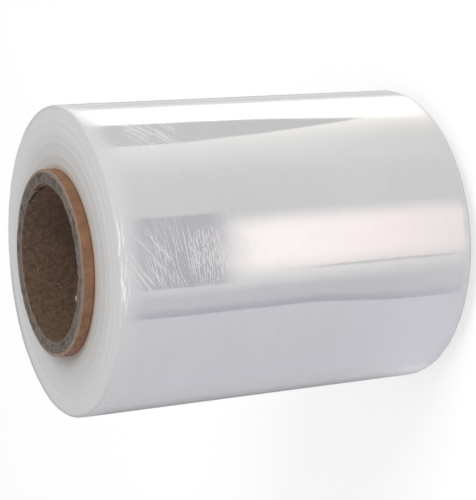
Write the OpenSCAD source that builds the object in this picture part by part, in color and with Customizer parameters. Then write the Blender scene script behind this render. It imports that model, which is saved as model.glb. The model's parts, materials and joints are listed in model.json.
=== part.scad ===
// Roll of clear stretch film wound on a spiral-wound paper core.
// It stands on one end of the core. The origin is the centre of that end, and +Z runs up the bore.

/* [Film] */
// Width of the film, which is the length of the wound body
film_width = 126; // [60:1:300]
// Outside diameter of the wound film
film_d = 102; // [75:1:160]
// Step at the free end of the film, where it lies on the turn below
free_end_step = 0.3; // [0.1:0.05:0.6]
// Direction round the roll in which the free end lies
free_end_angle = 125; // [0:5:355]
// Radius of the soft edge round each end of the wound film
edge_radius = 0.8; // [0.4:0.1:1.6]
// Number of bands of turns that show on each end of the film
band_count = 14; // [6:1:20]
// How far the bands of turns wander along the roll
band_wander = 0.2; // [0.05:0.05:0.4]
// Radial width of the slope between one band and the next
band_slope = 0.3; // [0.1:0.05:0.4]

/* [Core] */
// Inside diameter of the core, a 2 inch mandrel size
bore_d = 50.8; // [38:0.1:70]
// Thickness of the dark liner ply inside the core
liner_t = 0.6; // [0.4:0.1:1]
// Thickness of the grey board wall of the core
board_t = 3.9; // [2:0.1:6]
// Thickness of the tan cover ply outside the core
cover_t = 0.6; // [0.4:0.1:1]
// How far the core stands out of each end of the film
core_proud = 4; // [1:0.5:10]
// How far the cut ends of the liner and the cover lie behind the board
ply_setback = 0.3; // [0.1:0.1:0.8]
// Depth of the lines between the board plies on the cut ends
ply_line_depth = 0.2; // [0.1:0.05:0.3]
// Width of the lines between the board plies on the cut ends
ply_line_width = 0.2; // [0.1:0.05:0.3]
// Number of board plies that show on the cut ends
board_plies = 5; // [3:1:6]
// Rise of the wound plies in one turn
ply_lead = 90; // [60:5:150]
// Width of the butt seam between the turns of a ply, measured round the core
seam_gap = 0.6; // [0.4:0.1:1.2]
// Direction in which the liner's seam starts at the foot
liner_seam_angle = 205; // [0:5:355]
// Direction in which the cover's seam starts at the foot
cover_seam_angle = 20; // [0:5:355]
// Width of the corner torn off the liner where its seam meets the top
tear_width = 9; // [4:0.5:14]
// Depth of that torn corner
tear_depth = 2; // [1:0.25:4]

/* [Hidden] */

$fn = 180;
overrun = 1;
core_length = film_width + 2 * core_proud;
film_top = core_proud + film_width;
bore_r = bore_d / 2;
liner_r = bore_r + liner_t;
board_r = liner_r + board_t;
core_r = board_r + cover_t;
film_r = film_d / 2;

// The banded ends stop half a step inside the lowest place of the outermost turn.
banded_r = film_r - 1.5 * free_end_step;
band_pitch = (banded_r - edge_radius - core_r) / band_count;
ply_pitch = board_t / board_plies;

// The bands wander along the roll as two waves, which advance by these angles from band to band.
coarse_wave = 137.5;
fine_wave = 59;
coarse_share = 0.64;
top_phase = 0;
foot_phase = 40;

seam_degrees_a_slice = 8;
seam_turns = (core_length + 2 * overrun) / ply_lead;

// Height of one band of turns against the film's nominal end. It runs from -band_wander to 0.
function band_height(band, phase) =
    let (coarse = coarse_share * sin(band * coarse_wave + phase))
    let (fine = (1 - coarse_share) * sin(band * fine_wave + 2 * phase))
    band_wander * (coarse + fine - 1) / 2;

// Radius at which a band's level stretch starts (edge 0) or ends (edge 1).
function band_edge(band, edge) =
    let (r = core_r + (band + edge) * band_pitch)
    band + edge == 0 || band + edge == band_count ? r : r + (0.5 - edge) * band_slope;

// The stepped line of one end, from the core outwards. The side is 1 for the top and -1 for the foot.
function band_line(end_z, side, phase) = [
    for (band = [0 : band_count - 1], edge = [0, 1])
        [band_edge(band, edge), end_z + side * band_height(band, phase)]
];

function reversed(points) = [for (i = [len(points) - 1 : -1 : 0]) points[i]];

module ring(inner_r, outer_r, height) {
    difference() {
        cylinder(r = outer_r, h = height);
        translate([0, 0, -overrun]) cylinder(r = inner_r, h = height + 2 * overrun);
    }
}

// The turns are one spiral. Two half discs make it, one a half step smaller and half a step off centre.
module spiral_outline() {
    intersection() {
        circle(r = film_r);
        translate([-film_r, 0]) square([2 * film_r, film_r]);
    }
    intersection() {
        translate([free_end_step / 2, 0]) circle(r = film_r - free_end_step / 2);
        translate([-film_r, -film_r]) square([2 * film_r, film_r]);
    }
}

// Half of the section through the wound film, with the wandering bands of turns on both ends.
module banded_section() {
    polygon(concat(
        band_line(core_proud, -1, foot_phase),
        reversed(band_line(film_top, 1, top_phase))
    ));
}

// Half of the section just inside the outer face: a straight wall with a soft edge at each end.
module edge_section() {
    straight_r = banded_r - edge_radius;
    low = core_proud + band_wander + edge_radius;
    high = film_top - band_wander - edge_radius;
    translate([straight_r - band_pitch, low - edge_radius])
        square([band_pitch, high - low + 2 * edge_radius]);
    translate([straight_r, low]) square([edge_radius, high - low]);
    for (end = [[low, -1], [high, 1]])
        intersection() {
            translate([straight_r, end[0]]) circle(r = edge_radius, $fn = 48);
            translate([straight_r, end[1] > 0 ? end[0] : end[0] - edge_radius])
                square([edge_radius, edge_radius]);
        }
}

module film_winding() {
    color("gainsboro") difference() {
        union() {
            translate([0, 0, core_proud + band_wander + edge_radius])
                linear_extrude(film_width - 2 * band_wander - 2 * edge_radius)
                    rotate(free_end_angle - 180) spiral_outline();
            rotate_extrude() banded_section();
            rotate_extrude() edge_section();
        }
        cylinder(r = core_r, h = core_length);
    }
}

// A helical cut through one ply, where the edges of its wound strip meet.
module ply_seam(inner_r, thickness, start_angle) {
    translate([0, 0, -overrun]) rotate(start_angle - 360 * overrun / ply_lead)
        linear_extrude(
            seam_turns * ply_lead,
            twist = -360 * seam_turns,
            slices = ceil(360 * seam_turns / seam_degrees_a_slice),
            $fn = 4
        )
            translate([inner_r - thickness / 2, -seam_gap / 2]) square([2 * thickness, seam_gap]);
}

module core_cover_ply() {
    color("peru") difference() {
        translate([0, 0, ply_setback]) ring(board_r, core_r, core_length - 2 * ply_setback);
        ply_seam(board_r, cover_t, cover_seam_angle);
    }
}

// A V-shaped line between two plies, all round both cut ends of the board.
module ply_line(r) {
    rotate_extrude() for (end = [[0, 1], [core_length, -1]])
        polygon([
            [r - ply_line_width / 2, end[0]],
            [r, end[0] + end[1] * ply_line_depth],
            [r + ply_line_width / 2, end[0]]
        ]);
}

module core_board() {
    color("darkgray") difference() {
        ring(liner_r, board_r, core_length);
        for (ply = [1 : board_plies - 1]) ply_line(liner_r + ply * ply_pitch);
    }
}

// The corner torn off the liner: it follows the seam down, then runs back up to the cut end.
module liner_tear() {
    end_z = core_length - ply_setback;
    seam_run = tear_depth * 2 * PI * bore_r / ply_lead;
    rotate(liner_seam_angle + 360 * end_z / ply_lead)
        translate([bore_r / 2, 0, end_z])
            rotate([90, 0, 90])
                linear_extrude(bore_r)
                    polygon([
                        [0, 0],
                        [-seam_run, -tear_depth],
                        [tear_width, 0],
                        [tear_width, overrun],
                        [0, overrun]
                    ]);
}

module core_liner_ply() {
    color("saddlebrown") difference() {
        translate([0, 0, ply_setback]) ring(bore_r, liner_r, core_length - 2 * ply_setback);
        ply_seam(bore_r, liner_t, liner_seam_angle);
        liner_tear();
    }
}

film_winding();
core_cover_ply();
core_board();
core_liner_ply();
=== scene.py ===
"""A roll of clear stretch film on a spiral-wound paper core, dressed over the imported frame."""
import json
import math

import bpy
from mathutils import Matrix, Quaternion, Vector, noise


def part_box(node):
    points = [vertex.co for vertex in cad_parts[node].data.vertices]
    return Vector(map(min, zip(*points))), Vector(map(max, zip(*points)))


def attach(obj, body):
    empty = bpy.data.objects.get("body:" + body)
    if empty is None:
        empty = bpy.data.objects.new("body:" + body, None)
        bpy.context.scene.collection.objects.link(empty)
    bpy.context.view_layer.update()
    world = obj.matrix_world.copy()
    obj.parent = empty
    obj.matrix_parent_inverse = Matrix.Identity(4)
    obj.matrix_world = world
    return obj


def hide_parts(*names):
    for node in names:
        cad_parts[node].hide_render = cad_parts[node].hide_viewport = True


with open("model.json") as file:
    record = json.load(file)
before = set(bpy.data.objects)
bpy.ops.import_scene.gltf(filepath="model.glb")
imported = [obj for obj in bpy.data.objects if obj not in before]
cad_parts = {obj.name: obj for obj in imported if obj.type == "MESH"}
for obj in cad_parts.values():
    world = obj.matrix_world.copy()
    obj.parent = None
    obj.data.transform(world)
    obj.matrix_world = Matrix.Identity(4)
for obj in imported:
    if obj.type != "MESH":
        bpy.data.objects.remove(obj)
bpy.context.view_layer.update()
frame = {"record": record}

MM = 0.001

# Sizes that come from the frame. Each outside radius is how far its node reaches towards +X.
bore_mount = next(m for m in frame["record"]["mounts"] if m["name"] == "core_bore")
BORE_R = bore_mount["dims"]["r_mm"] * MM
LINER_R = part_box("core_liner_ply")[1].x
BOARD_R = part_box("core_board")[1].x
CORE_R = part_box("core_cover_ply")[1].x
FILM_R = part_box("film_winding")[1].x
CORE_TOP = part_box("core_board")[1].z
PLY_FOOT, PLY_TOP = (corner.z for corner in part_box("core_liner_ply"))
FILM_FOOT, FILM_TOP = (corner.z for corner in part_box("film_winding"))

# The winding
FREE_END_ANGLE = math.radians(125)
FREE_END_STEP = 0.3 * MM
FREE_END_WAVER = math.radians(1.6)
FREE_END_SWAY = math.radians(0.5)
FREE_END_REACH = math.radians(9)
EDGE_RADIUS = 0.8 * MM
BAND_COUNT = 14
BAND_WANDER = 0.2 * MM
RING_SPACING = 0.35 * MM
ROW_SPACING = 1.2 * MM
END_ROW_SPACING = 0.4 * MM
NEAR_END = 4 * MM
EDGE_STEPS = 8
FILM_STEPS = 288

# The core
BOARD_PLIES = 5
STEPS_A_PLY = 6
PLY_LINE_DEPTH = 0.2 * MM
PLY_LEAD = 90 * MM
SEAM_GAP = 0.6 * MM
LINER_SEAM = math.radians(205)
COVER_SEAM = math.radians(20)
TEAR_WIDTH = 9 * MM
TEAR_DEPTH = 2 * MM
TEAR_REACH = 7 * MM
TEAR_CURL = 0.35 * MM
FLAP_ANGLE = math.radians(-118)
FLAP_LEAN = 1.7 * MM
BOARD_STEPS = 320
PLY_STEPS = 256
PLY_ROW_SPACING = 1.5 * MM
PLY_END_ROWS = (0, 0.3 * MM, 0.7 * MM, 1.3 * MM, 2.2 * MM)


def only(piece):
    """Selects one piece and makes it active."""
    bpy.ops.object.select_all(action="DESELECT")
    piece.select_set(True)
    bpy.context.view_layer.objects.active = piece


def new_plane(name, size, place):
    """A plane primitive with its place in its mesh, named and left in edit mode with all of it selected."""
    bpy.ops.object.select_all(action="DESELECT")
    bpy.ops.mesh.primitive_plane_add(size=size, location=place)
    piece = bpy.context.object
    piece.name = piece.data.name = name
    bpy.ops.object.transform_apply(location=True, rotation=True, scale=True)
    bpy.ops.object.mode_set(mode="EDIT")
    bpy.ops.mesh.select_all(action="SELECT")
    return piece


def spun_ring(name, section, steps):
    """A ring: one vertex is drawn out along the closed section of (radius, height) points, then spun round."""
    here = Vector((section[0][0], 0, section[0][1]))
    ring = new_plane(name, MM, here)
    bpy.ops.mesh.merge(type="CENTER")
    for radius, height in section[1:] + section[:1]:
        there = Vector((radius, 0, height))
        bpy.ops.mesh.extrude_vertices_move(TRANSFORM_OT_translate={"value": there - here})
        here = there
    bpy.ops.mesh.select_all(action="SELECT")
    bpy.ops.mesh.remove_doubles(threshold=0.001 * MM)
    bpy.ops.mesh.spin(steps=steps, angle=2 * math.pi, center=(0, 0, 0), axis=(0, 0, 1))
    bpy.ops.mesh.select_all(action="SELECT")
    bpy.ops.mesh.remove_doubles(threshold=0.001 * MM)
    bpy.ops.mesh.normals_make_consistent(inside=False)
    bpy.ops.object.mode_set(mode="OBJECT")
    return ring


def smooth(piece, angle):
    """Smooth shading that keeps the edges sharper than the angle, in degrees."""
    only(piece)
    bpy.ops.object.shade_smooth_by_angle(angle=math.radians(angle))


def steps_between(start, end, spacing):
    """Evenly spaced values from start to end, both included."""
    count = max(1, round(abs(end - start) / spacing))
    return [start + (end - start) * i / count for i in range(count + 1)]


def smoothstep(low, high, value):
    """0 below low, 1 above high and smooth between them."""
    t = min(1.0, max(0.0, (value - low) / (high - low)))
    return t * t * (3 - 2 * t)


ROLL_MIDDLE = Vector((0, 0, 0.067))

# Camera: the photograph's view of the roll, turned on its side with it
EYE = Vector((0, -0.5179, 0.3215))
AIM = Vector((-0.0011, 0, 0.0652))
CAMERA_ROLL = math.radians(-95.06)
LENS_MM = 121.92


def make_camera():
    data = bpy.data.cameras.new("camera")
    data.lens = LENS_MM
    data.sensor_width = 36
    camera = bpy.data.objects.new("camera", data)
    camera.location = EYE
    camera.rotation_mode = "QUATERNION"
    level = (AIM - EYE).to_track_quat("-Z", "Y")
    camera.rotation_quaternion = level @ Quaternion((0, 0, 1), CAMERA_ROLL)
    bpy.context.scene.collection.objects.link(camera)
    bpy.context.scene.camera = camera


# Nodes
class Graph:
    """A short way to write a node tree: each call adds a node and returns its first output."""

    def __init__(self, tree):
        self.tree = tree

    def add(self, kind, inputs=None, **settings):
        node = self.tree.nodes.new(kind)
        for key, value in settings.items():
            setattr(node, key, value)
        for key, value in (inputs or {}).items():
            self.feed(node.inputs[key], value)
        return node

    def feed(self, socket, value):
        if isinstance(value, bpy.types.NodeSocket):
            self.tree.links.new(value, socket)
        else:
            socket.default_value = value

    def math(self, operation, *values):
        return self.add("ShaderNodeMath", dict(enumerate(values)), operation=operation).outputs[0]

    def ramp(self, value, low, high, out_low=0.0, out_high=1.0):
        """Smooth change from out_low to out_high while the value goes from low to high."""
        inputs = {0: value, 1: low, 2: high, 3: out_low, 4: out_high}
        return self.add("ShaderNodeMapRange", inputs, interpolation_type="SMOOTHSTEP").outputs[0]

    def mix(self, factor, first, second, blend="MIX"):
        node = self.add("ShaderNodeMix", data_type="RGBA", blend_type=blend)
        self.feed(node.inputs[0], factor)
        self.feed(node.inputs[6], first)
        self.feed(node.inputs[7], second)
        return node.outputs[2]

    def mix_number(self, factor, first, second):
        node = self.add("ShaderNodeMix", data_type="FLOAT")
        self.feed(node.inputs[0], factor)
        self.feed(node.inputs[2], first)
        self.feed(node.inputs[3], second)
        return node.outputs[0]

    def noise(self, vector, scale, detail=4.0, roughness=0.5, distortion=0.0):
        inputs = {"Vector": vector, "Scale": scale, "Detail": detail, "Roughness": roughness,
                  "Distortion": distortion}
        return self.add("ShaderNodeTexNoise", inputs).outputs[0]

    def place(self):
        """The Object coordinates, and their x, y and z."""
        coordinates = self.add("ShaderNodeTexCoord").outputs["Object"]
        parts = self.add("ShaderNodeSeparateXYZ", {0: coordinates}).outputs
        return coordinates, parts[0], parts[1], parts[2]

    def vector(self, x, y, z):
        return self.add("ShaderNodeCombineXYZ", {0: x, 1: y, 2: z}).outputs[0]

    def placed(self, tree, inputs):
        node = self.tree.nodes.new("ShaderNodeGroup")
        node.node_tree = tree
        for key, value in inputs.items():
            self.feed(node.inputs[key], value)
        return node.outputs


def rgb(red, green, blue):
    return (red, green, blue, 1.0)


def new_material(name):
    """A material with only its output and a Principled BSDF, as a graph and that shader."""
    material = bpy.data.materials.new(name)
    material.use_nodes = True
    shader = material.node_tree.nodes["Principled BSDF"]
    return material, Graph(material.node_tree), shader


def new_group(name, inputs, outputs):
    """A node group with named sockets, as a graph with its inputs by name, and its output node."""
    tree = bpy.data.node_groups.new(name, "ShaderNodeTree")
    for socket, kind in inputs.items():
        tree.interface.new_socket(socket, in_out="INPUT", socket_type=kind)
    for socket, kind in outputs.items():
        tree.interface.new_socket(socket, in_out="OUTPUT", socket_type=kind)
    graph = Graph(tree)
    given = graph.add("NodeGroupInput").outputs
    result = graph.add("NodeGroupOutput")
    return graph, given, result


FLOAT = "NodeSocketFloat"
COLOUR = "NodeSocketColor"
VECTOR = "NodeSocketVector"


def make_paper_group():
    """Recycled paper: mottled colour, flecks of other fibres, and a rough felted height."""
    graph, given, result = new_group(
        "paper_fibre",
        {"Vector": VECTOR, "Light": COLOUR, "Dark": COLOUR, "Fleck": COLOUR, "Mottle Size": FLOAT,
         "Fleck Size": FLOAT, "Fleck Amount": FLOAT},
        {"Color": COLOUR, "Height": FLOAT},
    )
    mottle_scale = graph.math("DIVIDE", 1.0, given["Mottle Size"])
    fleck_scale = graph.math("DIVIDE", 1.0, given["Fleck Size"])
    mottle = graph.noise(given["Vector"], mottle_scale, 6.0, 0.62)
    felt = graph.noise(given["Vector"], graph.math("MULTIPLY", mottle_scale, 5.0), 4.0, 0.6)
    spots = graph.noise(given["Vector"], fleck_scale, 2.0, 0.5, 0.6)
    threshold = graph.math("SUBTRACT", 0.74, given["Fleck Amount"])
    fleck = graph.ramp(spots, threshold, graph.math("ADD", threshold, 0.05))
    shade = graph.mix_number(0.45, graph.ramp(mottle, 0.36, 0.64), graph.ramp(felt, 0.32, 0.68))
    body = graph.mix(shade, given["Dark"], given["Light"])
    graph.feed(result.inputs["Color"], graph.mix(fleck, body, given["Fleck"]))
    rough = graph.math("ADD", graph.math("MULTIPLY", mottle, 0.5), graph.math("MULTIPLY", felt, 0.5))
    graph.feed(result.inputs["Height"], graph.math("ADD", rough, graph.math("MULTIPLY", fleck, 0.4)))
    return graph.tree


def make_crease_group():
    """Creases pressed into tight film: thin ridges drawn out along one slant, within one soft-edged place."""
    graph, given, result = new_group(
        "film_creases",
        {"Around": FLOAT, "Up": FLOAT, "Place Around": FLOAT, "Place Up": FLOAT, "Reach Around": FLOAT,
         "Reach Up": FLOAT, "Slant": FLOAT, "Length": FLOAT, "Spacing": FLOAT, "Thinness": FLOAT,
         "Seed": FLOAT},
        {"Height": FLOAT},
    )
    around = graph.math("SUBTRACT", given["Around"], given["Place Around"])
    up = graph.math("SUBTRACT", given["Up"], given["Place Up"])
    leaned = graph.math("SUBTRACT", up, graph.math("MULTIPLY", around, given["Slant"]))
    along = graph.math("DIVIDE", around, given["Length"])
    across = graph.math("DIVIDE", leaned, given["Spacing"])
    wave = graph.noise(graph.vector(along, across, given["Seed"]), 1.0, 1.0, 0.5)
    off_line = graph.math("ABSOLUTE", graph.math("MULTIPLY_ADD", wave, 2.0, -1.0))
    ridge = graph.math("SUBTRACT", 1.0, off_line)
    line = graph.ramp(ridge, given["Thinness"], 1.0)
    far_around = graph.math("DIVIDE", around, given["Reach Around"])
    far_up = graph.math("DIVIDE", up, given["Reach Up"])
    square = graph.math("ADD", graph.math("MULTIPLY", far_around, far_around),
                        graph.math("MULTIPLY", far_up, far_up))
    patchy = graph.noise(graph.vector(far_around, far_up, given["Seed"]), 2.4, 3.0, 0.6)
    near = graph.ramp(graph.math("ADD", square, graph.math("MULTIPLY_ADD", patchy, 1.6, -0.8)),
                      0.25, 1.0, 1.0, 0.0)
    graph.feed(result.inputs["Height"], graph.math("MULTIPLY", line, near))
    return graph.tree


# Creases and scratches of the film, one group to a row: its name, its middle as degrees round from the
# camera's side towards +X and as height, its reach round and up, and its lines' slope, length, spacing,
# thinness and share of the height. Lengths are in millimetres.
CREASES = [
    ("scratches by the near end", 0, 113, 15, 11, 0.22, 16, 1.8, 0.93, 0.50),
    ("close scratches behind them", -4, 101, 12, 8, 0.10, 6, 0.9, 0.85, 0.46),
    ("long ones across them", -3, 121, 13, 9, 0.75, 30, 2.4, 0.94, 2.2),
    ("streaks of the slack edge", 49, 109, 11, 10, 0.72, 40, 2.3, 0.93, 3.5),
    ("slant at the foot", 30, 30, 26, 16, 0.35, 20, 2.6, 0.92, 0.5),
    ("lee side", 150, 70, 45, 45, 0.25, 22, 2.4, 0.90, 0.8),
    ("far side", -120, 95, 45, 28, -0.3, 18, 2.0, 0.90, 0.8),
]


def turned_place(place):
    """A place in degrees from the camera's side, as an angle from the place opposite the film's free end."""
    return (math.radians(place - 90) - FREE_END_ANGLE) % (2 * math.pi) - math.pi


def film_material(creases):
    """Clear film in tight turns: glossy and silvery on its side, milky towards and on its cut ends, with painted
    shade, a painted glow and painted highlights on and by its end, and a painted shadow along its free end.
    """
    material, graph, shader = new_material("clear_film")
    coordinates, x, y, z = graph.place()
    turned = graph.add(
        "ShaderNodeVectorRotate",
        {"Vector": coordinates, "Angle": math.pi - FREE_END_ANGLE},
        rotation_type="Z_AXIS",
    ).outputs[0]
    turned_parts = graph.add("ShaderNodeSeparateXYZ", {0: turned}).outputs
    angle = graph.math("ARCTAN2", turned_parts[1], turned_parts[0])
    around = graph.math("MULTIPLY", angle, FILM_R)
    radius = graph.math("SQRT", graph.math("ADD", graph.math("MULTIPLY", x, x), graph.math("MULTIPLY", y, y)))

    def off_from(place):
        return graph.math("ABSOLUTE",
                          graph.math("WRAP", graph.math("SUBTRACT", angle, turned_place(place)), math.pi, -math.pi))

    from_end = graph.math("MINIMUM", graph.math("SUBTRACT", FILM_TOP, z),
                          graph.math("SUBTRACT", z, FILM_FOOT))
    side = graph.math("MULTIPLY", graph.ramp(radius, FILM_R - 1.5 * MM, FILM_R - 0.9 * MM),
                      graph.ramp(from_end, 0.72 * MM, 1.1 * MM))
    cloud = graph.noise(coordinates, 70.0, 4.0)
    from_foot = graph.math("MULTIPLY", graph.math("SUBTRACT", z, FILM_FOOT), 2.2)
    from_milk = graph.math("MINIMUM", graph.math("SUBTRACT", FILM_TOP, z), from_foot)
    ragged = graph.math("MULTIPLY_ADD", graph.math("SUBTRACT", cloud, 0.5), 6 * MM, from_milk)
    milky = graph.ramp(ragged, 1.3 * MM, 9.5 * MM, 1.0, 0.0)

    streaks = graph.noise(graph.vector(graph.math("DIVIDE", around, 9 * MM), graph.math("DIVIDE", z, 1.6 * MM), 1.0),
                          1.0, 3.0)
    streaks = graph.mix_number(0.5, streaks, cloud)
    side_colour = graph.mix(graph.ramp(streaks, 0.3, 0.7), rgb(0.580, 0.580, 0.587), rgb(0.600, 0.600, 0.607))
    side_colour = graph.mix(milky, side_colour, rgb(0.555, 0.555, 0.563))

    rings = graph.noise(graph.vector(graph.math("DIVIDE", radius, 0.5 * MM), 0.0, 0.0), 1.0, 3.0, 0.7)
    # Painted shade and show-through: the end face is darker towards the core, standing for the shade there and the
    # core's brown seen through the inner turns.
    depth = graph.math("SUBTRACT", radius, CORE_R)
    end_colour = graph.mix(graph.ramp(depth, 1.5 * MM, 17 * MM), rgb(0.487, 0.481, 0.474),
                           rgb(0.585, 0.585, 0.593))
    end_colour = graph.mix(graph.ramp(rings, 0.3, 0.7, 0.0, 0.05), end_colour, rgb(0.50, 0.50, 0.51))
    rounded = graph.math("MULTIPLY", graph.ramp(radius, FILM_R - 1.2 * MM, FILM_R - 0.6 * MM),
                         graph.ramp(from_end, 0.9 * MM, 1.5 * MM, 0.75, 0.0))
    end_colour = graph.mix(rounded, end_colour, rgb(0.50, 0.50, 0.505))
    # Painted shade: a band along the end face's rim is darkened round two places, at -128 and 97 degrees from the
    # camera's side.
    reach = graph.math("MULTIPLY_ADD", graph.math("ABSOLUTE", graph.math("DIVIDE", y, radius)),
                       2.0 * MM, 1.5 * MM)
    rim = graph.ramp(graph.math("ADD", radius, reach), FILM_R - 0.3 * MM, FILM_R + 0.9 * MM)
    painted_rim_shade = graph.math("MAXIMUM", graph.ramp(off_from(-128), math.radians(42), math.radians(60), 0.85, 0.0),
                     graph.ramp(off_from(97), math.radians(12), math.radians(24), 0.6, 0.0))
    end_colour = graph.mix(graph.math("MULTIPLY", rim, painted_rim_shade), end_colour, rgb(0.45, 0.45, 0.455))
    # Painted light: an orange glow by the core, standing for the core's brown seen through the film.
    glow = graph.ramp(depth, 0.0, 3 * MM, 0.44, 0.0)
    end_colour = graph.mix(glow, end_colour, rgb(0.46, 0.34, 0.27))

    # Painted shadow: the side is darker along the free end, as the shadow of the outer turn's step there.
    flap = graph.add("ShaderNodeAttribute", attribute_name="free_end").outputs["Fac"]
    side_colour = graph.mix(graph.ramp(flap, 0.1, 0.9), side_colour, rgb(0.43, 0.43, 0.44))
    colour = graph.mix(side, end_colour, side_colour)
    # Painted highlights: short white strokes on the side by the near end, on the camera's side, standing for glints
    # on the film's edge.
    painted_highlight_strokes = graph.noise(graph.vector(graph.math("DIVIDE", around, 9 * MM),
                                       graph.math("DIVIDE",
                                                  graph.math("MULTIPLY_ADD", around, 0.05, z), 0.55 * MM), 8.0),
                          1.0, 2.0, 0.6)
    painted_highlight_strokes = graph.math("MULTIPLY", graph.ramp(painted_highlight_strokes, 0.52, 0.60),
                         graph.ramp(off_from(-3), math.radians(8), math.radians(21), 0.8, 0.0))
    painted_highlight_strokes = graph.math("MULTIPLY", painted_highlight_strokes,
                         graph.ramp(graph.math("SUBTRACT", FILM_TOP, z), 2.2 * MM, 3.6 * MM, 1.0, 0.0))
    painted_highlight_strokes = graph.math("MULTIPLY", painted_highlight_strokes, graph.ramp(radius, FILM_R - 1.2 * MM, FILM_R - 0.6 * MM))
    graph.feed(shader.inputs["Base Color"], graph.mix(painted_highlight_strokes, colour, rgb(0.86, 0.86, 0.87)))
    side_metal = graph.mix_number(milky, 0.32, 0.05)
    graph.feed(shader.inputs["Metallic"], graph.math("MULTIPLY", side, side_metal))
    scuff = graph.noise(coordinates, 240.0, 5.0, 0.65)
    side_rough = graph.math("ADD", graph.mix_number(milky, 0.06, 0.28),
                            graph.ramp(scuff, 0.5, 0.8, 0.0, 0.04))
    graph.feed(shader.inputs["Roughness"], graph.mix_number(side, 0.48, side_rough))
    graph.feed(shader.inputs["Coat Weight"], graph.math("MULTIPLY", side, graph.mix_number(milky, 0.5, 0.14)))
    shader.inputs["Coat Roughness"].default_value = 0.05
    shader.inputs["IOR"].default_value = 1.5

    brushed = graph.noise(graph.vector(graph.math("DIVIDE", around, 14 * MM), graph.math("DIVIDE", z, 0.8 * MM), 5.0),
                          1.0, 3.0)
    side_height = graph.math("MULTIPLY", brushed, 0.30)
    for seed, (_, place, up, reach_around, reach_up, slant,
               length, spacing, thinness, depth_share) in enumerate(CREASES):
        ridge = graph.placed(creases, {
            "Around": around, "Up": z, "Place Around": turned_place(place) * FILM_R, "Place Up": up * MM,
            "Reach Around": reach_around * MM, "Reach Up": reach_up * MM, "Slant": slant,
            "Length": length * MM,
            "Spacing": spacing * MM, "Thinness": thinness, "Seed": 3.7 * seed,
        })[0]
        side_height = graph.math("MULTIPLY_ADD", ridge, depth_share, side_height)
    end_height = graph.math("MULTIPLY", rings, 0.35)
    height = graph.mix_number(side, end_height, side_height)
    bump = graph.add("ShaderNodeBump", {"Strength": 1.0, "Distance": 0.012 * MM, "Height": height})
    graph.feed(shader.inputs["Normal"], bump.outputs[0])
    return material


def paper_material(name, paper, light, dark, fleck, mottle, fleck_size, amount, cut_colour,
                   cut_share, film_shadow_share):
    """Paper of one kind. Its sawn ends take a given colour in part, which on the liner is painted shade, and a shadow
    is painted where it meets the film.
    """
    material, graph, shader = new_material(name)
    coordinates, _, _, z = graph.place()
    fibre = graph.placed(paper, {"Vector": coordinates, "Light": light, "Dark": dark, "Fleck": fleck,
                                 "Mottle Size": mottle, "Fleck Size": fleck_size, "Fleck Amount": amount})
    from_end = graph.math("MINIMUM", graph.math("SUBTRACT", CORE_TOP, z), z)
    cut = graph.ramp(from_end, 0.35 * MM, 0.6 * MM, cut_share, 0.0)
    fuzz = graph.noise(coordinates, 420.0, 3.0)
    cut = graph.math("MULTIPLY", cut, graph.ramp(fuzz, 0.32, 0.60, 0.45, 1.0))
    body = graph.mix(cut, fibre[0], cut_colour)
    # Painted shadow: the paper is darkened within 0.6 mm of the film's ends, where it meets the film.
    beside = graph.math("MINIMUM", graph.math("ABSOLUTE", graph.math("SUBTRACT", z, FILM_TOP)),
                        graph.math("ABSOLUTE", graph.math("SUBTRACT", z, FILM_FOOT)))
    painted_film_shadow = graph.ramp(beside, 0.1 * MM, 0.6 * MM, film_shadow_share, 0.0)
    # The torn edge is near black: partly its torn, delaminated layer and partly a painted shadow under the curled
    # edge.
    torn = graph.add("ShaderNodeAttribute", attribute_name="torn").outputs["Fac"]
    body = graph.mix(graph.ramp(torn, 0.15, 0.75), body, rgb(0.035, 0.02, 0.012))
    worn = graph.add("ShaderNodeAttribute", attribute_name="worn").outputs["Fac"]
    body = graph.mix(graph.ramp(worn, 0.2, 0.8), body, rgb(0.42, 0.34, 0.24))
    graph.feed(shader.inputs["Base Color"], graph.mix(painted_film_shadow, body, dark, "MULTIPLY"))
    graph.feed(shader.inputs["Roughness"], graph.ramp(fibre[1], 0.3, 0.8, 0.78, 0.95))
    bump = graph.add("ShaderNodeBump", {"Strength": 0.7, "Distance": 0.12 * MM, "Height": fibre[1]})
    graph.feed(shader.inputs["Normal"], bump.outputs[0])
    return material


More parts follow.
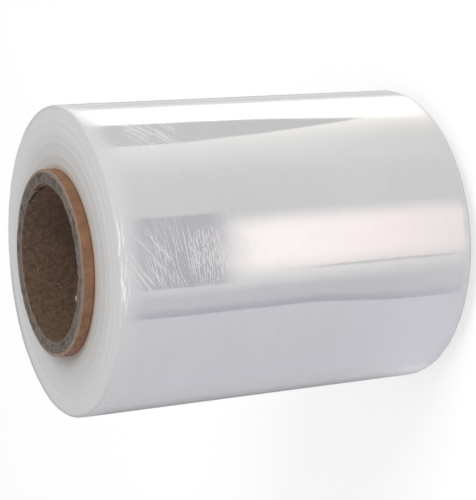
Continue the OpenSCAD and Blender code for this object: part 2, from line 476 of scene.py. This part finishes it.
def board_material(paper):
    """Grey recycled board, sawn across: its plies show as smeared bluish streaks, with a lighter worn outer edge and
    painted shade along its inner edge.
    """
    material, graph, shader = new_material("grey_board")
    coordinates, x, y, _ = graph.place()
    fibre = graph.placed(paper, {"Vector": coordinates, "Light": rgb(0.21, 0.16, 0.127),
                                 "Dark": rgb(0.066, 0.055, 0.051),
                                 "Fleck": rgb(0.33, 0.29, 0.25), "Mottle Size": 1.7 * MM,
                                 "Fleck Size": 0.8 * MM,
                                 "Fleck Amount": 0.03})
    radius = graph.math("SQRT", graph.math("ADD", graph.math("MULTIPLY", x, x), graph.math("MULTIPLY", y, y)))
    towards = [graph.math("MULTIPLY", graph.math("DIVIDE", part, radius), BOARD_R / (3.2 * MM))
               for part in (x, y)]
    by_ply = graph.vector(towards[0], towards[1], graph.math("DIVIDE", radius, 0.7 * MM))
    smear = graph.noise(by_ply, 1.0, 4.0, 0.65)
    blotch = graph.noise(coordinates, 260.0, 3.0, 0.6)
    body = graph.mix(graph.ramp(smear, 0.48, 0.66), fibre[0], rgb(0.105, 0.100, 0.108))
    body = graph.mix(graph.ramp(blotch, 0.50, 0.64, 0.0, 0.75), body, rgb(0.048, 0.043, 0.043))
    worn = graph.math("ADD", radius, graph.math("MULTIPLY_ADD", smear, 1.2 * MM, -0.6 * MM))
    body = graph.mix(graph.ramp(worn, BOARD_R - 1.0 * MM, BOARD_R + 0.1 * MM, 0.0, 0.75), body,
                     rgb(0.28, 0.21, 0.155))
    # Painted shade: darker along the board's inner edge, by the bore.
    body = graph.mix(graph.ramp(worn, LINER_R, LINER_R + 0.9 * MM, 0.55, 0.0), body, rgb(0.10, 0.072, 0.055))
    bared = graph.ramp(radius, LINER_R + 0.05 * MM, LINER_R + 0.12 * MM, 0.8, 0.0)
    body = graph.mix(bared, body, rgb(0.27, 0.22, 0.18))
    graph.feed(shader.inputs["Base Color"], body)
    graph.feed(shader.inputs["Roughness"], graph.ramp(fibre[1], 0.3, 0.8, 0.8, 0.95))
    rough = graph.math("MULTIPLY_ADD", smear, 0.8, fibre[1])
    bump = graph.add("ShaderNodeBump", {"Strength": 0.8, "Distance": 0.14 * MM, "Height": rough})
    graph.feed(shader.inputs["Normal"], bump.outputs[0])
    return material


def band_height(band, phase):
    """Height of one band of turns against the film's nominal end, as two waves from band to band."""
    coarse = 0.64 * math.sin(math.radians(band * 137.5 + phase))
    fine = 0.36 * math.sin(math.radians(band * 59 + 2 * phase))
    return BAND_WANDER * (coarse + fine - 1) / 2


def end_line(end, side, phase):
    """The line of one end of the winding, from the core outwards, with the bands and a fine unevenness."""
    outer = FILM_R - EDGE_RADIUS
    pitch = (outer - CORE_R) / BAND_COUNT
    line = []
    for radius in steps_between(CORE_R, outer, RING_SPACING):
        place = (radius - CORE_R) / pitch
        band = min(BAND_COUNT - 1, int(place))
        next_band = min(BAND_COUNT - 1, band + 1)
        share = smoothstep(0.05, 1.0, place - band)
        level = band_height(band, phase) * (1 - share) + band_height(next_band, phase) * share
        ripple = 0.011 * MM * (noise.noise(Vector((radius / (0.6 * MM), phase, 0))) - 0.5)
        line.append((radius, end + side * (level + ripple)))
    centre_z = line[-1][1] - side * EDGE_RADIUS
    for step in range(1, EDGE_STEPS + 1):
        turn = math.pi / 2 * step / EDGE_STEPS
        line.append((outer + EDGE_RADIUS * math.sin(turn), centre_z + side * EDGE_RADIUS * math.cos(turn)))
    return line


def turn_radius(angle):
    """The outermost turn's radius, which grows by one step from the free end round to it."""
    behind = (angle - FREE_END_ANGLE) % (2 * math.pi)
    return FILM_R - FREE_END_STEP * (1 - smoothstep(0, math.pi, behind))


def free_end_shift(angle, height):
    """How far round a point near the free end moves, so that the end is one crisp, slightly wavering line."""
    column = 2 * math.pi / FILM_STEPS
    off = (angle - FREE_END_ANGLE + math.pi) % (2 * math.pi) - math.pi
    waver = FREE_END_WAVER * noise.noise(Vector((height * 24, 3.0, 0))) + FREE_END_SWAY * math.sin(height * 42)
    shift = waver * (1 - smoothstep(0, FREE_END_REACH, abs(off)))
    if -column / 2 <= off < column / 2:
        return shift - off - 0.02 * column
    if column / 2 <= off < 1.5 * column:
        return shift - off + 0.06 * column
    return shift


def make_film(material):
    low_line = end_line(FILM_FOOT, -1, 40)
    high_line = end_line(FILM_TOP, 1, 0)
    first, last = low_line[-1][1], high_line[-1][1]
    low_rows = steps_between(first, first + NEAR_END, END_ROW_SPACING)
    high_rows = steps_between(last - NEAR_END, last, END_ROW_SPACING)
    side_rows = low_rows[1:] + steps_between(low_rows[-1], high_rows[0], ROW_SPACING)[1:-1] + high_rows[:-1]
    side = [(FILM_R, height) for height in side_rows]
    film = spun_ring("film_turns", low_line + side + high_line[::-1], FILM_STEPS)
    free_end = film.data.attributes.new("free_end", "FLOAT", "POINT")
    for vertex in film.data.vertices:
        here = vertex.co
        radius = math.hypot(here.x, here.y)
        share = smoothstep(FILM_R - 4 * MM, FILM_R - 0.6 * MM, radius)
        if share == 0:
            continue
        angle = math.atan2(here.y, here.x)
        slack = 0.5 + 0.5 * noise.noise(Vector((here.x * 28, here.y * 28, here.z * 14)))
        ripple = 0.5 + 0.5 * noise.noise(Vector((here.x * 70 + 9, here.y * 70, here.z * 22)))
        tremble = noise.noise(Vector((here.x * 150, here.y * 150 + 5, here.z * 90)))
        from_end = min(here.z - FILM_FOOT, FILM_TOP - here.z)
        edge = share * (1 - smoothstep(0.8 * MM, 3 * MM, from_end))
        nick = noise.fractal(Vector((here.x * 190, here.y * 190, here.z * 60)), 0.8, 2.0, 3)
        drop = FILM_R - turn_radius(angle) + 0.16 * MM * slack + 0.04 * MM * ripple + 0.010 * MM * tremble
        wanted = radius - drop * share - 0.07 * MM * edge * (0.6 + nick)
        inward = -1 if here.z > ROLL_MIDDLE.z else 1
        here.z += inward * 0.06 * MM * edge * (0.6 + nick)
        off = abs((angle - FREE_END_ANGLE + math.pi) % (2 * math.pi) - math.pi)
        free_end.data[vertex.index].value = share if off < 1.2 * math.pi / FILM_STEPS else 0.0
        angle += free_end_shift(angle, here.z) * share
        here.x = wanted * math.cos(angle)
        here.y = wanted * math.sin(angle)
    film.data.materials.append(material)
    smooth(film, 40)
    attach(film, "root")
    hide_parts("film_winding")


def make_board(material):
    """The board wall, with a line between each pair of plies on both cut ends."""
    spacing = (BOARD_R - LINER_R) / BOARD_PLIES / STEPS_A_PLY

    def cut_end(end, side):
        line = []
        for radius in steps_between(LINER_R, BOARD_R, spacing):
            place = (radius - LINER_R) / (spacing * STEPS_A_PLY)
            nearness = abs(place - round(place))
            between_plies = 0.5 < place < BOARD_PLIES - 0.5
            groove = PLY_LINE_DEPTH * (1 - smoothstep(0.0, 0.17, nearness)) if between_plies else 0.0
            line.append((radius, end - side * groove))
        return line

    foot = cut_end(0.0, -1)
    top = cut_end(CORE_TOP, 1)
    walls = steps_between(2 * MM, CORE_TOP - 2 * MM, 10 * MM)
    outer = [(BOARD_R, height) for height in walls]
    inner = [(LINER_R, height) for height in walls[::-1]]
    board = spun_ring("board_wall", foot + outer + top[::-1] + inner, BOARD_STEPS)
    for vertex in board.data.vertices:
        here = vertex.co
        from_end = min(here.z, CORE_TOP - here.z)
        if from_end > 0.5 * MM:
            continue
        inward = -1 if here.z > CORE_TOP / 2 else 1
        rough = max(0.0, 0.5 + 0.5 * noise.fractal(here * 900, 1.0, 2.0, 3))
        chip = smoothstep(0.15, 0.55, noise.fractal(here * 260, 0.9, 2.0, 3))
        here.z += inward * (0.16 * MM * rough + 0.30 * MM * chip)
    board.data.materials.append(material)
    smooth(board, 50)
    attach(board, "root")
    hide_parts("core_board")


def turned_by(point, angle):
    """Turns a mesh point round the bore in place."""
    x, y = point.x, point.y
    point.x = x * math.cos(angle) - y * math.sin(angle)
    point.y = x * math.sin(angle) + y * math.cos(angle)


def wound_ply(name, inner_r, seam_start):
    """A wound strip without its thickness: a line up the bore, spun to the seam and twisted to its lead."""
    half_gap = SEAM_GAP / 2 / inner_r
    edge = [PLY_FOOT + rise for rise in PLY_END_ROWS]
    other_edge = [PLY_TOP - rise for rise in reversed(PLY_END_ROWS)]
    rows = edge + steps_between(edge[-1], other_edge[0], PLY_ROW_SPACING)[1:-1] + other_edge
    corner = Vector((inner_r, 0, rows[0]))
    turned_by(corner, seam_start - half_gap)
    ply = new_plane(name, MM, corner)
    bpy.ops.mesh.merge(type="CENTER")
    for low, high in zip(rows, rows[1:]):
        bpy.ops.mesh.extrude_vertices_move(TRANSFORM_OT_translate={"value": (0, 0, high - low)})
    bpy.ops.mesh.select_all(action="SELECT")
    bpy.ops.mesh.spin(steps=PLY_STEPS, angle=2 * (math.pi - half_gap), center=(0, 0, 0), axis=(0, 0, 1))
    bpy.ops.mesh.select_all(action="SELECT")
    bpy.ops.mesh.normals_make_consistent(inside=False)
    bpy.ops.object.mode_set(mode="OBJECT")
    only(ply)
    twist = ply.modifiers.new("twist", "SIMPLE_DEFORM")
    twist.deform_method = "TWIST"
    twist.deform_axis = "Z"
    twist.angle = 2 * math.pi * (PLY_TOP - PLY_FOOT) / PLY_LEAD
    bpy.ops.object.modifier_apply(modifier="twist")
    return ply


def frayed_ends(ply, amount, wave):
    """Lets the cut ends of a ply wander inwards by up to the amount."""
    for vertex in ply.data.vertices:
        here = vertex.co
        from_end = min(here.z - PLY_FOOT, PLY_TOP - here.z)
        if from_end > PLY_END_ROWS[-1] / 2:
            continue
        inward = -1 if here.z > CORE_TOP / 2 else 1
        spot = Vector((here.x / wave, here.y / wave, inward * 7.3))
        share = 1 - from_end / PLY_END_ROWS[-1] * 2
        here.z += inward * amount * share * (0.5 + 0.5 * noise.fractal(spot, 0.8, 2.0, 3))


def torn_corner(ply):
    """Tears the liner's corner by its seam at the top, where the edge slides down, and leans its small flap."""
    seam_at_top = LINER_SEAM + 2 * math.pi * PLY_TOP / PLY_LEAD
    # This attribute marks the torn edge, which the liner's material darkens as its torn layer and a painted shadow.
    torn = ply.data.attributes.new("torn", "FLOAT", "POINT")
    worn = ply.data.attributes.new("worn", "FLOAT", "POINT")
    for vertex in ply.data.vertices:
        here = vertex.co
        from_top = PLY_TOP - here.z
        if from_top > TEAR_REACH:
            continue
        off_flap = abs(math.atan2(here.y, here.x) - FLAP_ANGLE) * BORE_R
        flap = (1 - smoothstep(0.3 * MM, 1.5 * MM, off_flap)) * (1 - smoothstep(0, 2.2 * MM, from_top))
        worn.data[vertex.index].value = smoothstep(0.1, 0.5, flap)
        here.x *= 1 - FLAP_LEAN / BORE_R * flap
        here.y *= 1 - FLAP_LEAN / BORE_R * flap
        lag = 2 * math.pi * from_top / PLY_LEAD
        along = (math.atan2(here.y, here.x) + lag - seam_at_top) % (2 * math.pi) * BORE_R
        if along > TEAR_WIDTH:
            continue
        ragged = 0.12 * noise.fractal(Vector((along / (1.3 * MM), 4.0, 0)), 0.9, 2.0, 3)
        share = max(0.0, 1 - along / TEAR_WIDTH + ragged * smoothstep(0, 0.3, 1 - along / TEAR_WIDTH))
        drop = TEAR_DEPTH * share * (1 - from_top / TEAR_REACH)
        here.z -= drop
        turned_by(here, -2 * math.pi * drop / PLY_LEAD)
        near_top = 1 - smoothstep(0.3 * MM, 1.6 * MM, from_top)
        torn.data[vertex.index].value = near_top * smoothstep(0, 0.15, share)
        curl = 1 - TEAR_CURL / BORE_R * share * (1 - smoothstep(0, 2.5 * MM, from_top))
        here.x *= curl
        here.y *= curl


def finish_ply(ply, thickness, node, material):
    only(ply)
    wall = ply.modifiers.new("wall", "SOLIDIFY")
    wall.thickness = thickness
    wall.offset = 1
    bpy.ops.object.modifier_apply(modifier="wall")
    ply.data.materials.append(material)
    smooth(ply, 50)
    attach(ply, "root")
    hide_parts(node)


def make_cover(material):
    cover = wound_ply("cover_ply", BOARD_R, COVER_SEAM)
    frayed_ends(cover, 0.12 * MM, 1.6 * MM)
    finish_ply(cover, CORE_R - BOARD_R, "core_cover_ply", material)


def make_liner(material):
    liner = wound_ply("liner_ply", BORE_R, LINER_SEAM)
    frayed_ends(liner, 0.5 * MM, 2.2 * MM)
    torn_corner(liner)
    finish_ply(liner, LINER_R - BORE_R, "core_liner_ply", material)


def floor_and_light():
    """A pale floor that fades to white for the camera, and soft light."""
    bpy.ops.object.select_all(action="DESELECT")
    bpy.ops.mesh.primitive_plane_add(size=8)
    floor = bpy.context.object
    floor.name = "floor"
    material = bpy.data.materials.new("floor")
    material.use_nodes = True
    tree = material.node_tree
    tree.nodes.clear()
    graph = Graph(tree)
    paint = graph.add("ShaderNodeBsdfDiffuse", {"Color": rgb(0.95, 0.95, 0.955)}).outputs[0]
    glow = graph.add("ShaderNodeEmission", {"Color": rgb(1, 1, 1), "Strength": 1.08}).outputs[0]
    seen = graph.add("ShaderNodeLightPath").outputs["Is Camera Ray"]
    share = graph.math("MULTIPLY", seen, 0.62)
    mixed = graph.add("ShaderNodeMixShader", {0: share, 1: paint, 2: glow}).outputs[0]
    graph.add("ShaderNodeOutputMaterial", {"Surface": mixed})
    floor.data.materials.append(material)
    floor.visible_glossy = False

    world = bpy.data.worlds.new("studio")
    bpy.context.scene.world = world
    world.use_nodes = True
    world.node_tree.nodes.clear()
    graph = Graph(world.node_tree)
    path = graph.add("ShaderNodeLightPath").outputs
    shown = graph.math("MAXIMUM", path["Is Camera Ray"], path["Is Glossy Ray"])
    shown = graph.math("MAXIMUM", shown, path["Is Transmission Ray"])
    strength = graph.mix_number(shown, AMBIENT, 1.0)
    light = graph.add("ShaderNodeBackground", {"Color": rgb(1, 1, 1), "Strength": strength}).outputs[0]
    graph.add("ShaderNodeOutputWorld", {"Surface": light})

    for name, place, size, power, colour in LAMPS:
        data = bpy.data.lights.new(name, "AREA")
        data.shape = "SQUARE"
        data.size = size
        data.energy = power
        lamp = bpy.data.objects.new(name, data)
        lamp.location = place
        lamp.rotation_mode = "QUATERNION"
        lamp.rotation_quaternion = (ROLL_MIDDLE - Vector(place)).to_track_quat("-Z", "Y")
        lamp.visible_glossy = False
        data.color = colour
        bpy.context.scene.collection.objects.link(lamp)


AMBIENT = 0.66
LAMPS = [
    ("key", (0.9, -0.7, 1.1), 0.7, 10.8, (1.0, 1.0, 0.99)),
    ("fill", (-0.9, -0.9, 0.5), 0.9, 3.8, (0.96, 0.96, 1.0)),
]

# A studio surround, a ground and cards, which only gloss sees, stand round the roll. Azimuth is in degrees
# from the camera's side towards +X. The surround's red, green and blue are given at these azimuths.
SURROUND_R = 0.93
SURROUND_HEIGHTS = (-1.0, 1.2)
SURROUND = [
    (-180, 0.22, 0.22, 0.22), (-158, 0.30, 0.30, 0.31), (-149, 0.38, 0.37, 0.40), (-138, 0.55, 0.53, 0.58),
    (-122, 0.62, 0.60, 0.67), (-110, 0.67, 0.64, 0.74), (-46, 0.69, 0.655, 0.775), (-40, 0.72, 0.70, 0.76),
    (-26, 0.82, 0.82, 0.81), (-12, 0.70, 0.70, 0.68), (24, 0.61, 0.61, 0.59), (50, 0.65, 0.65, 0.63),
    (60, 0.75, 0.755, 0.73), (76, 1.08, 1.09, 1.05), (86, 1.34, 1.31, 1.22), (98, 1.90, 1.80, 1.64),
    (106, 2.40, 2.30, 2.14), (133, 2.2, 2.2, 2.15), (139, 1.0, 1.0, 1.0), (147, 0.69, 0.69, 0.69),
    (156, 0.80, 0.80, 0.80), (165, 0.45, 0.45, 0.45),
]
# Each card has its name, its distance, its edges as rows of height and azimuth from one side to the other, its
# low and high colour, its brightness, how softly it starts at its first and last azimuth and at its lowest
# and highest edge, as shares, and how uneven it is.
PINK = (1.0, 0.81, 0.78)
CREAM = (1.0, 0.90, 0.84)
PLAIN = (1.0, 1.0, 1.0)
DUSK = (0.25, 0.10, 1.0)
PURPLE = (1.0, 0.92, 1.15)
CARDS = [
    ("window", 0.90, [(-0.86, -31, 27), (-0.300, -31, 27)],
     PINK, CREAM, 2.36, (0.40, 0.30, 0.90, 0.09), 0.10),
    ("window_frame", 0.885, [(-0.58, -21, -18.5), (-0.36, -21, -18.5)],
     PLAIN, PLAIN, 0.5, (0.3, 0.3, 0.3, 0.3), 0.0),
    ("window_bar", 0.88, [(-0.308, -26, 25.6), (-0.195, -26, 25.6)],
     DUSK, DUSK, 0.13, (0.025, 0.025, 0.05, 0.5), 0.0),
    ("table_shade", 0.895, [(-0.62, -50, -26), (-0.56, -50.5, -26), (-0.52, -52, -26), (-0.49, -52.2, -26),
                            (-0.465, -50.7, -26), (-0.445, -49.1, -26), (-0.425, -47.4, -26),
                            (-0.405, -46.5, -26),
                            (0.10, -46.5, -26)], PURPLE, PURPLE, 0.46, (0.02, 0.36, 0.25, 0.1), 0.0),
    ("table_edge", 0.89, [(-0.62, -50.2, -41), (-0.56, -50.7, -41), (-0.52, -52.2, -43), (-0.49, -52.4, -43),
                          (-0.465, -50.9, -42), (-0.445, -49.3, -41), (-0.425, -47.6, -39),
                          (-0.405, -46.7, -38),
                          (0.10, -46.7, -38)], DUSK, DUSK, 0.15, (0.04, 0.85, 0.27, 0.62), 0.0),
    ("upper_flag", 0.88, [(-0.475, 101, 102), (-0.375, 90.6, 108), (-0.29, 84.8, 109), (-0.22, 84, 109.6),
                           (0.50, 84, 109.6)], PLAIN, PLAIN, 0.50, (0.04, 0.04, 0.01, 0.2), 0.0),
    ("overhead", 0.80, [(0.42, -36, 26), (0.85, -36, 26)], PLAIN, PLAIN, 4.0, (0.3, 0.3, 0.1, 0.1), 0.5),
    ("back_flag", 0.85, [(0.30, 112, 250), (1.40, 112, 250)], PLAIN, PLAIN, 0.45, (0.1, 0.1, 0.1, 0.1), 0.0),
]
GROUND_LEVEL = 0.35


def only_for_gloss(piece):
    """Lets nothing but reflections see a piece of the studio."""
    piece.visible_camera = False
    piece.visible_diffuse = False
    piece.visible_transmission = False
    piece.visible_volume_scatter = False
    piece.visible_shadow = False


def make_surround():
    low, high = SURROUND_HEIGHTS
    bpy.ops.object.select_all(action="DESELECT")
    bpy.ops.mesh.primitive_cylinder_add(vertices=180, radius=SURROUND_R, depth=high - low,
                                        end_fill_type="NOTHING",
                                        location=(0, 0, (low + high) / 2))
    wall = bpy.context.object
    wall.name = wall.data.name = "surround"
    bpy.ops.object.transform_apply(location=True, rotation=True, scale=True)
    material = bpy.data.materials.new("surround")
    material.use_nodes = True
    material.node_tree.nodes.clear()
    graph = Graph(material.node_tree)
    _, x, y, z = graph.place()
    azimuth = graph.math("ARCTAN2", x, graph.math("MULTIPLY", y, -1.0))
    share = graph.math("MULTIPLY_ADD", azimuth, 0.5 / math.pi, 0.5)
    brightest = max(max(colour) for _, *colour in SURROUND)
    ramp = graph.add("ShaderNodeValToRGB", {0: share})
    stops = ramp.color_ramp.elements
    while len(stops) < len(SURROUND):
        stops.new(0.5)
    for stop, (degrees, *colour) in zip(stops, SURROUND):
        stop.position = degrees / 360 + 0.5
        stop.color = rgb(*(part / brightest for part in colour))

    def between(first, last):
        return graph.ramp(azimuth, math.radians(first), math.radians(last))

    table = graph.math("MULTIPLY", between(-30, -70), graph.ramp(z, -0.56, -0.44, 0.3, 0.0))
    under = graph.math("MULTIPLY", between(-118, -146), graph.ramp(z, -0.56, -0.51, 0.45, 0.0))
    above = graph.math("MULTIPLY", graph.math("MULTIPLY", between(50, 80), between(104, 96)),
                       graph.ramp(z, -0.56, -0.38, -0.2, 0.0))
    level = graph.math("MULTIPLY", graph.math("MULTIPLY", between(0, 16), between(80, 60)),
                       graph.ramp(z, -0.48, -0.33, 0.16, 0.0))
    low_down = graph.math("ADD", graph.math("ADD", table, under), graph.math("ADD", above, level))
    low_down = graph.math("ADD", low_down, 1.0)
    strength = graph.math("MULTIPLY", low_down, brightest)
    light = graph.add("ShaderNodeEmission", {"Color": ramp.outputs[0], "Strength": strength}).outputs[0]
    graph.add("ShaderNodeOutputMaterial", {"Surface": light})
    wall.data.materials.append(material)
    only_for_gloss(wall)

    bpy.ops.object.select_all(action="DESELECT")
    bpy.ops.mesh.primitive_circle_add(vertices=180, radius=SURROUND_R, fill_type="NGON", location=(0, 0, low))
    ground = bpy.context.object
    ground.name = ground.data.name = "ground"
    bpy.ops.object.transform_apply(location=True, rotation=True, scale=True)
    material = bpy.data.materials.new("ground")
    material.use_nodes = True
    material.node_tree.nodes.clear()
    graph = Graph(material.node_tree)
    light = graph.add("ShaderNodeEmission", {"Color": rgb(1, 1, 1), "Strength": GROUND_LEVEL}).outputs[0]
    graph.add("ShaderNodeOutputMaterial", {"Surface": light})
    ground.data.materials.append(material)
    only_for_gloss(ground)


def make_card(name, distance, rows, low_colour, high_colour, level, soft, uneven):
    card = new_plane(name, 1, (0.5, 0.5, 0))
    bpy.ops.mesh.subdivide(number_cuts=63)
    bpy.ops.object.mode_set(mode="OBJECT")
    for vertex in card.data.vertices:
        across, up = vertex.co.x, vertex.co.y
        height = rows[0][0] + (rows[-1][0] - rows[0][0]) * up
        low, high = next(pair for pair in zip(rows, rows[1:]) if height <= pair[1][0] + 1e-6)
        share = (height - low[0]) / (high[0] - low[0])
        start = low[1] + (high[1] - low[1]) * share
        end = low[2] + (high[2] - low[2]) * share
        azimuth = math.radians(start + (end - start) * across)
        vertex.co = (distance * math.sin(azimuth), -distance * math.cos(azimuth), height)
    material = bpy.data.materials.new(name)
    material.use_nodes = True
    material.node_tree.nodes.clear()
    graph = Graph(material.node_tree)
    place = graph.add("ShaderNodeUVMap").outputs[0]
    parts = graph.add("ShaderNodeSeparateXYZ", {0: place}).outputs
    mask = 1.0
    from_edges = (parts[0], graph.math("SUBTRACT", 1.0, parts[0]),
                  parts[1], graph.math("SUBTRACT", 1.0, parts[1]))
    for from_edge, width in zip(from_edges, soft):
        mask = graph.math("MULTIPLY", graph.ramp(from_edge, 0.0, width), mask)
    if uneven:
        patches = graph.noise(graph.vector(graph.math("MULTIPLY", parts[0], 9.0),
                                           graph.math("MULTIPLY", parts[1], 34.0), 0.0), 1.0, 4.0)
        mask = graph.math("MULTIPLY", mask, graph.ramp(patches, 0.36, 0.60, 1.0 - uneven, 1.0))
    colour = graph.mix(graph.ramp(parts[1], 0.55, 1.0), rgb(*low_colour), rgb(*high_colour))
    clear = graph.add("ShaderNodeBsdfTransparent").outputs[0]
    light = graph.add("ShaderNodeEmission", {"Color": colour, "Strength": level}).outputs[0]
    mixed = graph.add("ShaderNodeMixShader", {0: mask, 1: clear, 2: light}).outputs[0]
    graph.add("ShaderNodeOutputMaterial", {"Surface": mixed})
    card.data.materials.append(material)
    only_for_gloss(card)


bpy.context.scene.view_settings.view_transform = "Standard"
make_camera()
floor_and_light()
make_surround()
for card in CARDS:
    make_card(*card)

paper = make_paper_group()
tan = paper_material("tan_paper", paper, rgb(0.275, 0.142, 0.076), rgb(0.165, 0.080, 0.041),
                     rgb(0.11, 0.055, 0.03),
                     3.2 * MM, 0.6 * MM, 0.01, rgb(0.30, 0.235, 0.19), 0.85, 0.45)
# The liner's sawn ends are near black: painted shade on their recessed cut.
brown = paper_material("brown_paper", paper, rgb(0.19, 0.112, 0.068), rgb(0.066, 0.039, 0.026),
                       rgb(0.27, 0.20, 0.14),
                       1.5 * MM, 0.8 * MM, 0.06, rgb(0.085, 0.058, 0.045), 0.8, 0.0)
make_film(film_material(make_crease_group()))
make_board(board_material(paper))
make_cover(tan)
make_liner(brown)
